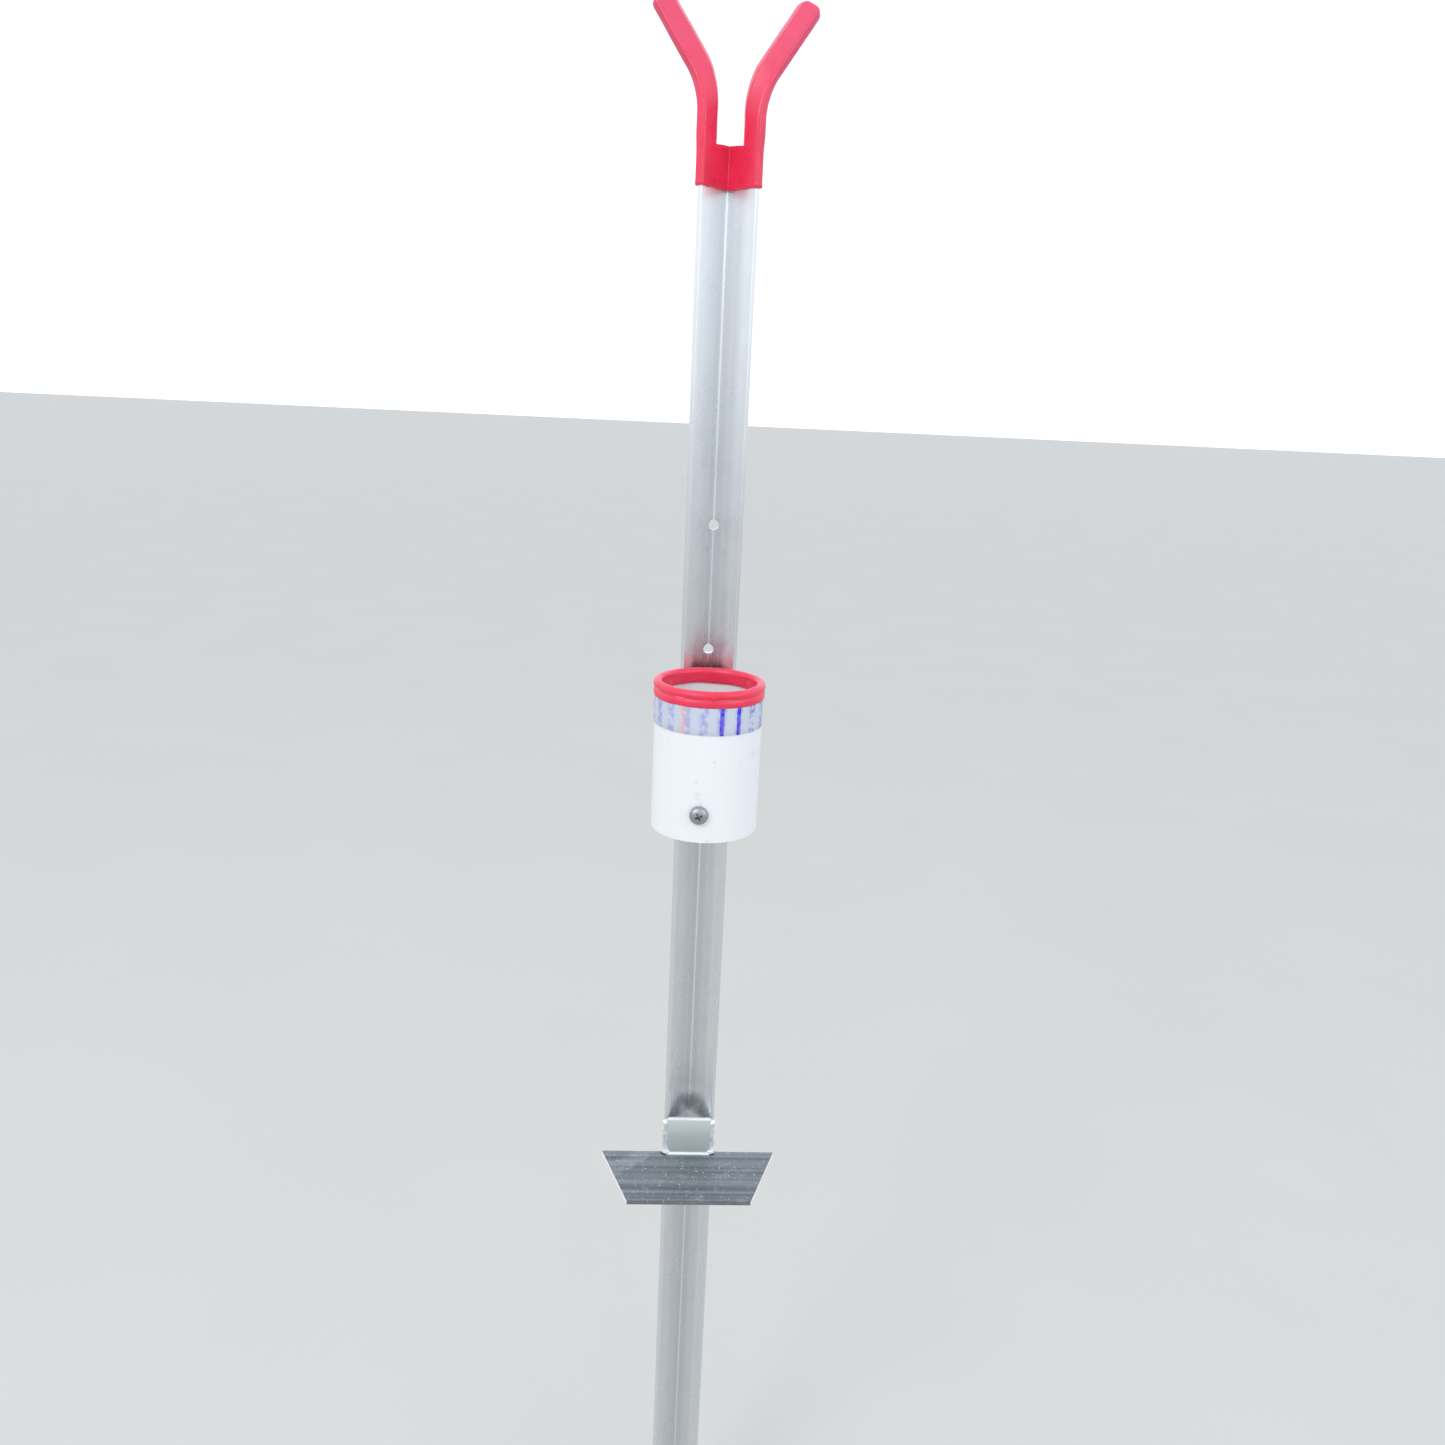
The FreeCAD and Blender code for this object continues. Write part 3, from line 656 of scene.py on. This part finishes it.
def v_section_post(finish, cut_finish):
    radii = (HEEL_RADIUS, TOE_RADIUS, TOE_RADIUS, ROOT_RADIUS, TOE_RADIUS, TOE_RADIUS)
    section = rounded(post_outline(), radii)
    top = SLOT_FLOOR - 1.0
    levels = [i * top / 40 for i in range(41)]
    mesh = bmesh.new()
    skin(mesh, [[(p.x, p.y, z) for p in section] for z in levels])
    # the slanting cut that makes the spike, from the back corner at zero up to the toes
    slope = Vector((0, -POINT_LENGTH, TOE_FRONT)).normalized()
    cut = bmesh.ops.bisect_plane(mesh, geom=mesh.verts[:] + mesh.edges[:] + mesh.faces[:],
                                 plane_co=(0, 0, 0), plane_no=slope, clear_inner=False,
                                 clear_outer=True)
    edges = [e for e in cut["geom_cut"] if isinstance(e, bmesh.types.BMEdge)]
    bmesh.ops.contextual_create(mesh, geom=edges)
    for face in mesh.faces:
        face.material_index = 1 if abs(face.normal.dot(slope)) > 0.999 else 0
    post = piece_from("post_extrusion", mesh, finish, "mill_aluminium", "post_angle")
    post.data.materials.append(cut_finish)
    place = bolt_frame()[0]
    place = Matrix.Translation(place.translation * MM) @ place.to_3x3().to_4x4()
    drills = [drill("bolt_drill", HOLE_RADIUS, place)]
    for height in SPARE_HOLES:
        level = Matrix.Translation(UP * height * MM) @ Matrix.Rotation(pi / 2, 4, "X")
        drills.append(drill("spare_drill", HOLE_RADIUS, level))
    cut_from(post, drills)
    smooth_to(post, 35)


# ---- the dipped fork ----

def leg_directions(side):
    return Vector((side, -1, 0)) / ROOT2, Vector((-side, -1, 0)) / ROOT2


def strip_middle(side):
    along, inward = leg_directions(side)
    return along * (SLOT_EDGE + WALL / 2 + LEG_WIDTH) / 2 + inward * WALL / 2


def strip_outline(side):
    """One leg beside the slot, in plan, about its own middle."""
    along, inward = leg_directions(side)
    corners = [(SLOT_EDGE, 0), (LEG_WIDTH, 0), (LEG_WIDTH, WALL), (SLOT_EDGE + WALL, WALL)]
    return [(along * a + inward * b - strip_middle(side)).to_2d() for a, b in corners]


def strip_place(side, share):
    """The place and turn of a strip part of the way round its bend."""
    lean = radians(LEAN_BACK)
    outward = Vector((side * cos(lean), sin(lean), 0))
    angle = radians(BEND_ANGLE) * share
    turn = Quaternion(UP.cross(outward), angle) @ Quaternion(UP, radians(side * TWIST * share))
    rise = UP * (SLOT_FLOOR + PRONG_STRAIGHT[side] + BEND_RADIUS * sin(angle))
    middle = strip_middle(side) + rise + outward * BEND_RADIUS * (1 - cos(angle))
    return Matrix.Translation(middle) @ turn.to_matrix().to_4x4()


def coated_prong(mesh, side):
    """The skin of one prong from below the slot floor to its round end."""
    outline = [tuple(p) for p in strip_outline(side)]
    full = [Vector((p.x, p.y, 0)) for p in swollen(outline, PRONG_COAT)]
    rings = []
    # the coat thickens from the sleeve's to its own over the first 10 mm
    for step in range(-3, 8):
        rise = -PRONG_STRAIGHT[side] * (1 - step / 8)
        share = min(1.0, max(0.0, (rise + PRONG_STRAIGHT[side] + 6) / 12))
        eased = share * share * (3 - 2 * share)
        coat = SLEEVE_COAT - 0.15 + (PRONG_COAT - SLEEVE_COAT + 0.15) * eased
        rings.append([strip_place(side, 0) @ Vector((p.x, p.y, rise))
                      for p in swollen(outline, coat)])
    for step in range(25):
        rings.append([strip_place(side, step / 24) @ p for p in full])
    end = PRONG_LENGTH - PRONG_STRAIGHT[side] - BEND_RADIUS * radians(BEND_ANGLE) + PRONG_COAT
    for step in range(1, 8):
        rise = UP * (end - PRONG_ROUNDING) * step / 7
        rings.append([strip_place(side, 1) @ (p + rise) for p in full])
    for k in range(1, 9):
        # the end is dipped round: each ring is drawn in towards the middle
        angle = k * pi / 2 / 8.4
        rise = UP * (end - PRONG_ROUNDING + PRONG_ROUNDING * sin(angle) / sin(8 * pi / 2 / 8.4))
        rings.append([strip_place(side, 1) @ (p * cos(angle) ** 0.62 + rise) for p in full])
    skin(mesh, rings)


def dipped_fork(finish):
    """Sleeve and prongs as one soft skin, its inside corners filled as thick vinyl fills them."""
    mesh = bmesh.new()
    sleeve = swollen(post_outline(), SLEEVE_COAT)
    high = SLOT_FLOOR + SLEEVE_COAT
    levels = [DIP_LINE - 2 + i * (high - DIP_LINE + 2) / 8 for i in range(9)]
    skin(mesh, [[(p.x, p.y, z) for p in sleeve] for z in levels])
    for side in (-1, 1):
        coated_prong(mesh, side)
    fork = piece_from("dipped_fork", mesh, finish, "red_vinyl", "fork_coating")
    weld = fork.modifiers.new("one_skin", "REMESH")
    weld.mode, weld.voxel_size, weld.adaptivity = "VOXEL", SKIN_GRAIN * MM, 0.0
    soften = fork.modifiers.new("soft_corners", "SMOOTH")
    soften.factor, soften.iterations = 0.5, 7
    settle(fork)
    # trim to the dip line, which wanders by half a millimetre, with a fatter lip where it drained
    mesh = bmesh.new()
    mesh.from_mesh(fork.data)
    for vert in mesh.verts:
        x, y, z = vert.co / MM
        wander = 0.55 * noise.noise(Vector((x * 0.16, y * 0.16, 3.7)))
        if abs(x) < SLOT_WIDTH / 2 and SLOT_FLOOR < z < SLOT_FLOOR + 2:
            # vinyl that pooled across the corner of the slot floor
            vert.co.z += 1.3 * (1 - (x / SLOT_WIDTH * 2) ** 2) * MM
        if z < DIP_LINE + 0.4:
            vert.co.z = (DIP_LINE + wander + 0.12 * max(z - DIP_LINE, -2)) * MM
        swell = noise.noise(Vector((x, y, z * 0.5)) * 0.11) * 0.16
        lip = 0.22 * max(0.0, 1 - abs(z - DIP_LINE - 1.3) / 1.3)
        vert.co += vert.normal * (swell + lip) * MM
    mesh.to_mesh(fork.data)
    mesh.free()
    fork.data.shade_smooth()


# ---- the cup ----

def round_the_cup(turn, radius, z):
    """A point round the cup. Turn is zero at the front and grows towards +X."""
    return Vector((radius * sin(turn), CUP_AXIS_Y - radius * cos(turn), z))


def clear_of_post(turn, radius):
    """The radius, drawn in where the front corners of the post press on the cup."""
    while radius > CUP_RADIUS - 1:
        spot = round_the_cup(turn, radius, 0)
        if not inside_post(spot.x, spot.y, 0.02):
            break
        radius -= 0.04
    return radius


def dipped_cup_rim(finish):
    """A full bead over the edge of the pipe, a tuck below it, a skirt, and one drip at the front."""
    inner = CUP_RADIUS - CUP_WALL - RIM_INSIDE_COAT
    bead = CUP_RADIUS + RIM_COAT + 0.2
    top = CUP_TOP + RIM_COAT
    # half-section: (radius, height below the top), from the inside edge over to the outside edge
    profile = [(inner + 1.5, 9.9), (inner + 0.5, 9.6), (inner + 0.1, 8.9), (inner, 7.5), (inner, 5.5),
               (inner, 3.8)]
    middle, half = (inner + bead) / 2, (bead - inner) / 2
    for k in range(15):
        angle = pi * k / 14
        profile.append((middle - half * cos(angle), 2.8 - 2.8 * sin(angle)))
    profile += [(bead - 0.1, 3.5), (bead - 0.5, 4.3), (bead - 1.0, 4.9), (bead - 0.95, 5.3),
                (bead - 0.35, 6.1), (bead - 0.22, 7.6), (bead - 0.25, 8.8), (bead - 0.5, 9.6),
                (CUP_RADIUS - 0.1, 10.0)]
    around = 288
    rings = []
    for i in range(around):
        turn = 2 * pi * i / around
        fat = noise.noise(Vector((cos(turn) * 2.2, sin(turn) * 2.2, 1.0)))
        ring = []
        for radius, below in profile:
            drop = below * (1 + 0.04 * fat) if below > 7 else below
            bulge = 0.16 * fat if radius > middle and 1 < below < 9 else 0.0
            # the drip hangs from the bead across the tuck
            off = (turn - radians(DRIP_TURN)) * bead
            drip = max(0.0, 1 - (off / (DRIP_WIDTH / 2)) ** 2) if radius > middle else 0.0
            drip *= max(0.0, 1 - ((below - 4.6) / 1.9) ** 2)
            outer = radius + bulge + 0.75 * drip
            ring.append(round_the_cup(turn, clear_of_post(turn, outer), top - drop))
        rings.append(ring)
    mesh = bmesh.new()
    skin(mesh, rings, closed_loop=True, caps=False)
    rim = piece_from("dipped_cup_rim", mesh, finish, "red_vinyl", "cup_rim_coating")
    rim.data.shade_smooth()


def reflective_band(finish):
    """Film round the pipe, its two ends nearly meeting at the back."""
    gap = 0.75 / CUP_RADIUS
    outer = CUP_RADIUS + TAPE_THICKNESS
    rings = []
    for i in range(241):
        turn = -pi + gap + (2 * pi - 2 * gap) * i / 240
        # the film lifts a little here and there along its lower edge
        lift = 0.05 * noise.noise(Vector((cos(turn) * 5, sin(turn) * 5, 8)))
        ring = []
        for radius, z in ((outer - 0.5, TAPE_LOW + 0.05), (outer - 0.1 + lift, TAPE_LOW),
                          (outer + lift, TAPE_LOW + 0.12), (outer, TAPE_LOW + 5),
                          (outer, RIM_LINE - 5), (outer, RIM_LINE - 0.02), (outer - 0.5, RIM_LINE)):
            ring.append(round_the_cup(turn, clear_of_post(turn, radius), z))
        rings.append(ring)
    mesh = bmesh.new()
    skin(mesh, rings)
    band = piece_from("reflective_band", mesh, finish, "silver_tape", "reflective_tape")
    smooth_to(band, 50)


# ---- fasteners ----

def head_seat():
    """How far from the corner of the post the underside of the bolt's head is."""
    axis = Vector((0, CUP_AXIS_Y, 0))
    towards_head = bolt_frame()[1]
    offset = axis.cross(towards_head).length
    return axis.dot(towards_head) + sqrt(CUP_RADIUS ** 2 - offset ** 2) + 0.25


def threaded_shank(mesh, seat):
    """A rolled M6 thread as one continuous ridge, with a chamfered end."""
    around, per_turn = 32, 6
    rings = []
    count = int(BOLT_LENGTH / THREAD_PITCH * per_turn)
    for i in range(count + 1):
        z = -BOLT_LENGTH * (1 - i / count)
        ring = []
        for k in range(around):
            turn = 2 * pi * k / around
            phase = (z / THREAD_PITCH - k / around) % 1.0
            ridge = 1 - abs(2 * phase - 1)
            end = min(1.0, (z + BOLT_LENGTH) / 0.8)
            radius = BOLT_RADIUS - THREAD_DEPTH * (1 - min(1.0, ridge * 1.25)) - 0.5 * (1 - end)
            ring.append(Vector((radius * cos(turn), radius * sin(turn), seat + z)))
        rings.append(ring)
    skin(mesh, rings)


def pan_head(mesh, seat):
    """The domed head, about +Z, from its flat underside over to the crown."""
    profile = [(BOLT_RADIUS - 0.3, 0), (HEAD_RADIUS - 0.25, 0), (HEAD_RADIUS, 0.25),
               (HEAD_RADIUS, 0.9)]
    for k in range(1, 15):
        angle = k * pi / 2 / 15
        profile.append((HEAD_RADIUS * cos(angle) ** 0.8, 0.9 + (HEAD_HEIGHT - 0.9) * sin(angle)))
    around = 64
    rings = []
    for radius, z in profile:
        rings.append([Vector((radius * cos(2 * pi * k / around), radius * sin(2 * pi * k / around),
                              seat + z)) for k in range(around)])
    skin(mesh, rings)


def cross_recess(name):
    """The cutter for the driver's cross, narrowing as it goes in."""
    mesh = bmesh.new()
    for turn in (0, pi / 2):
        rings = []
        for z, share in ((-RECESS_DEPTH, 0.42), (0, 0.92), (1.5, 1.25)):
            a, b = RECESS_SPAN / 2 * share, RECESS_SLOT / 2 * (0.8 + 0.2 * share)
            rings.append([Matrix.Rotation(turn, 3, "Z") @ Vector(c) for c in
                          ((-a, -b, z), (a, -b, z), (a, b, z), (-a, b, z))])
        skin(mesh, rings)
    return in_scene(name, in_metres(mesh))


def cup_screw(finish):
    """Pan-head machine screw through cup and post."""
    seat = head_seat()
    place = bolt_frame()[0]
    mesh = bmesh.new()
    threaded_shank(mesh, seat)
    mesh.transform(place)
    shank = piece_from("screw_thread", mesh, finish, "stainless_steel", "cup_bolt")
    smooth_to(shank, 70)
    mesh = bmesh.new()
    pan_head(mesh, seat)
    mesh.transform(place)
    head = piece_from("screw_head", mesh, finish, "stainless_steel", "cup_bolt")
    cutter = cross_recess("driver_cross")
    crown = place @ Vector((0, 0, seat + HEAD_HEIGHT))
    turned = place.to_3x3().to_4x4() @ Matrix.Rotation(radians(CROSS_TURN), 4, "Z")
    cutter.matrix_world = Matrix.Translation(crown * MM) @ turned
    cut_from(head, [cutter], crossing=True)
    smooth_to(head, 32)


# ---- foot step ----

def foot_step_angle(finish, cut_finish):
    """Trapezoid tread and trimmed upright leg in one angle, every edge broken as if filed."""
    rear = TOE_FRONT - SEAT_GAP
    front = rear - TREAD_DEPTH
    low, top, high = TREAD_TOP - STEP_THICKNESS, TREAD_TOP, TREAD_TOP + UPSTAND_HEIGHT
    half = TOE_IN_X - UPSTAND_INSET
    mesh = bmesh.new()

    def half_width(y):
        share = (rear - y) / TREAD_DEPTH
        return (TREAD_REAR + (TREAD_FRONT - TREAD_REAR) * share) / 2

    def row(y, z):
        return [(x, y, z) for x in (-half_width(y), -half, half, half_width(y))]

    # tread: a plate of three strips across, the middle one under the upright leg
    root = rear - STEP_THICKNESS
    plan = [front, root, rear]
    upper = [[mesh.verts.new(p) for p in row(y, top)] for y in plan]
    under = [[mesh.verts.new(p) for p in row(y, low)] for y in plan]
    for i in range(2):
        for j in range(3):
            if not (i == 1 and j == 1):
                mesh.faces.new((upper[i][j], upper[i][j + 1], upper[i + 1][j + 1], upper[i + 1][j]))
            mesh.faces.new((under[i][j], under[i + 1][j], under[i + 1][j + 1], under[i][j + 1]))
        for j in (0, 3):
            mesh.faces.new((upper[i][j], upper[i + 1][j], under[i + 1][j], under[i][j]))
    for j in range(3):
        mesh.faces.new((upper[0][j], under[0][j], under[0][j + 1], upper[0][j + 1]))
        mesh.faces.new((upper[2][j], upper[2][j + 1], under[2][j + 1], under[2][j]))
    # upright leg from the root line to its top
    crown = [[mesh.verts.new((x, y, high)) for x in (-half, half)] for y in (root, rear)]
    ul, ur, bl, br = upper[1][1], upper[1][2], upper[2][1], upper[2][2]
    mesh.faces.new((ul, ur, crown[0][1], crown[0][0]))
    mesh.faces.new((bl, crown[1][0], crown[1][1], br))
    mesh.faces.new((ul, crown[0][0], crown[1][0], bl))
    mesh.faces.new((ur, br, crown[1][1], crown[0][1]))
    mesh.faces.new((crown[0][0], crown[0][1], crown[1][1], crown[1][0]))
    bmesh.ops.recalc_face_normals(mesh, faces=mesh.faces)
    # the root is rolled to its radius first, then the outside edges are broken
    root_edge = [e for e in mesh.edges if set(e.verts) == {ul, ur}]
    bmesh.ops.bevel(mesh, geom=root_edge, offset=STEP_ROOT, offset_type="OFFSET", segments=6,
                    profile=0.5, affect="EDGES")
    sharp = [e for e in mesh.edges
             if len(e.link_faces) == 2 and e.calc_face_angle_signed() > radians(60)]
    bmesh.ops.bevel(mesh, geom=sharp, offset=0.35, offset_type="OFFSET", segments=2, profile=0.5,
                    affect="EDGES", clamp_overlap=True)
    for face in mesh.faces:
        middle = face.calc_center_median()
        on_crown = middle.z > high - 0.5
        on_end = abs(abs(middle.x) - half_width(middle.y)) < 0.5 and middle.z < top - 0.5
        on_rim = middle.y > rear - 0.4 and middle.z < top + 0.1
        face.material_index = 1 if on_crown or on_end or on_rim else 0
    step = piece_from("foot_step_angle", mesh, finish, "step_aluminium", "foot_step")
    step.data.materials.append(cut_finish)
    smooth_to(step, 40)


def weld_bead(mesh, start, end, radius_at, lean, seed):
    """A run of frozen puddles: rings along a line, swelling and shrinking once each ripple."""
    run = end - start
    length = run.length
    along = run.normalized()
    side = lean.normalized()
    third = along.cross(side)
    count = max(8, int(length / RIPPLE_PITCH * 8))
    rings = []
    for i in range(count + 1):
        at = length * i / count
        phase = (at / RIPPLE_PITCH + 0.25 * noise.noise(Vector((at * 0.7, seed, 0)))) % 1.0
        ripple = 1 + 0.035 * (1 - phase ** 1.6) - 0.02
        close = min(1.0, sqrt(max(0.0, at) / 1.3), sqrt(max(0.0, length - at) / 1.3))
        radius = radius_at(at) * ripple * max(0.05, close)
        wander = 0.18 * noise.noise(Vector((at * 0.3, seed + 5.0, 0)))
        ring = []
        for k in range(28):
            turn = 2 * pi * k / 28
            # each puddle is crescent shaped: its middle lies further on than its edges
            skew = 0.5 * cos(turn) * RIPPLE_PITCH * 0.5
            lump = 1 + 0.015 * noise.noise(Vector((cos(turn) * 1.5, sin(turn) * 1.5, at * 0.5 + seed)))
            ring.append(start + along * min(length, max(0.0, at + skew * close))
                        + (side * cos(turn) + third * sin(turn)) * radius * lump + side * wander)
        rings.append(ring)
    skin(mesh, rings)


def side_weld(finish):
    """Beads up both edges of the upright leg, fatter at the foot where they turn on to the tread."""
    mesh = bmesh.new()
    low, high = TREAD_TOP - 0.6, TREAD_TOP + UPSTAND_HEIGHT - 2.5

    def fillet(at):
        spread = max(0.0, 1 - (at - 0.6) / BEAD_FOOT_HEIGHT)
        return (BEAD_RADIUS + (BEAD_FOOT - BEAD_RADIUS) * spread ** 1.5) * 0.93

    for side in (-1, 1):
        start = Vector((side * (TOE_IN_X + 0.1), TOE_FRONT + 0.2, low))
        weld_bead(mesh, start, start + UP * (high - low), fillet, Vector((side, -1, 0)), side * 3.0)
    beads = piece_from("side_weld_beads", mesh, finish, "weld_metal", "step_side_welds")
    beads.data.shade_smooth()


def under_weld(finish):
    """Two short beads under the tread, at the front corners of the post."""
    mesh = bmesh.new()
    for side in (-1, 1):
        reach = Vector((UNDER_BEAD_LENGTH, 0, 0))
        start = Vector((side * TOE_IN_X - UNDER_BEAD_LENGTH / 2, TOE_FRONT + 0.4,
                        TREAD_TOP - STEP_THICKNESS + 0.4))
        weld_bead(mesh, start, start + reach, lambda at: UNDER_BEAD * 0.93, Vector((0, -1, -1)),
                  side * 7.0)
    beads = piece_from("under_weld_beads", mesh, finish, "weld_metal", "step_under_welds")
    beads.data.shade_smooth()


# ---- studio ----

def pale_floor():
    """A wide matte floor, pale grey, with a very faint mottle."""
    finish, place = new_finish("matte_studio_floor")
    mottle = add(finish, "TexNoise", {"Vector": place, "Scale": 3.0, "Detail": 2}).outputs["Fac"]
    paint_colour = add(finish, "Mix", {
        "Factor": mottle, COLOUR_A: linear("#BCBBB8"),
        COLOUR_B: linear("#C0BFBC")}, data_type="RGBA").outputs[COLOUR_OUT]
    surface = add(finish, "BsdfPrincipled", {"Base Color": paint_colour, "Roughness": 0.9})
    add(finish, "OutputMaterial", {"Surface": surface.outputs[0]})
    mesh = bmesh.new()
    bmesh.ops.create_grid(mesh, x_segments=1, y_segments=1, size=FLOOR_REACH)
    ground = in_scene("floor", mesh)
    ground.data.materials.append(finish)
    # just under the tip, so that they don't share a plane
    ground.location.z = model_box[0][2] - 0.5 * MM


def soft_lamp(name, place, aim, size, power, colour):
    data = bpy.data.lights.new(name, "AREA")
    data.shape, data.size, data.energy, data.color = "DISK", size, power, linear(colour)[:3]
    lamp = bpy.data.objects.new(name, data)
    lamp.location = place
    lamp.rotation_euler = (Vector(aim) - Vector(place)).to_track_quat("-Z", "Y").to_euler()
    bpy.context.scene.collection.objects.link(lamp)


def studio():
    pale_floor()
    sky = bpy.data.worlds.new("pale_room")
    sky.use_nodes = True
    glow = sky.node_tree.nodes["Background"]
    glow.inputs["Color"].default_value = linear("#F4F9FF")
    glow.inputs["Strength"].default_value = 1.3
    bpy.context.scene.world = sky
    soft_lamp("key_from_left", (-1.5, -1.7, 2.3), (0, 0, 0.75), 1.1, 20, "#FFFDF8")
    soft_lamp("fill_from_right", (1.8, -1.4, 1.6), (0, 0, 0.7), 1.4, 8, "#F2F6FF")


def camera():
    """Close in front at the height of the upper post, a little to the left, looking down."""
    yaw, pitch, roll = radians(3.15), radians(15.71), radians(2.67)
    ahead = Vector((sin(yaw) * cos(pitch), cos(yaw) * cos(pitch), -sin(pitch)))
    right = Vector((cos(yaw), -sin(yaw), 0))
    above = right.cross(ahead)
    across = right * cos(roll) + above * sin(roll)
    upward = above * cos(roll) - right * sin(roll)
    turn = Matrix((across, upward, -ahead)).transposed().to_4x4()
    data = bpy.data.cameras.new("camera")
    data.sensor_width = 36.0
    data.lens = 27.89
    eye = bpy.data.objects.new("camera", data)
    eye.matrix_world = Matrix.Translation(EYE) @ turn
    bpy.context.scene.collection.objects.link(eye)
    bpy.context.scene.camera = eye


def finish_node(name, finish):
    """Gives a kept node of the model its finish."""
    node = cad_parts[name]
    node.data.materials.clear()
    node.data.materials.append(finish)


def build():
    aluminium = mill_finish_aluminium()
    vinyl = dipped_red_vinyl()
    steel = turned_stainless_steel()
    weld = bright_weld_metal()
    sawn = sawn_aluminium()
    v_section_post(aluminium, sawn)
    dipped_fork(vinyl)
    dipped_cup_rim(vinyl)
    reflective_band(prismatic_silver_tape())
    cup_screw(steel)
    foot_step_angle(scuffed_step_aluminium(), sawn)
    side_weld(weld)
    under_weld(weld)
    finish_node("cup_tube", extruded_white_pvc())
    finish_node("bolt_washer", steel)
    finish_node("lock_nut", steel)
    finish_node("nut_insert", moulded_blue_nylon())


build()
studio()
camera()
bpy.context.scene.view_settings.view_transform = "Standard"
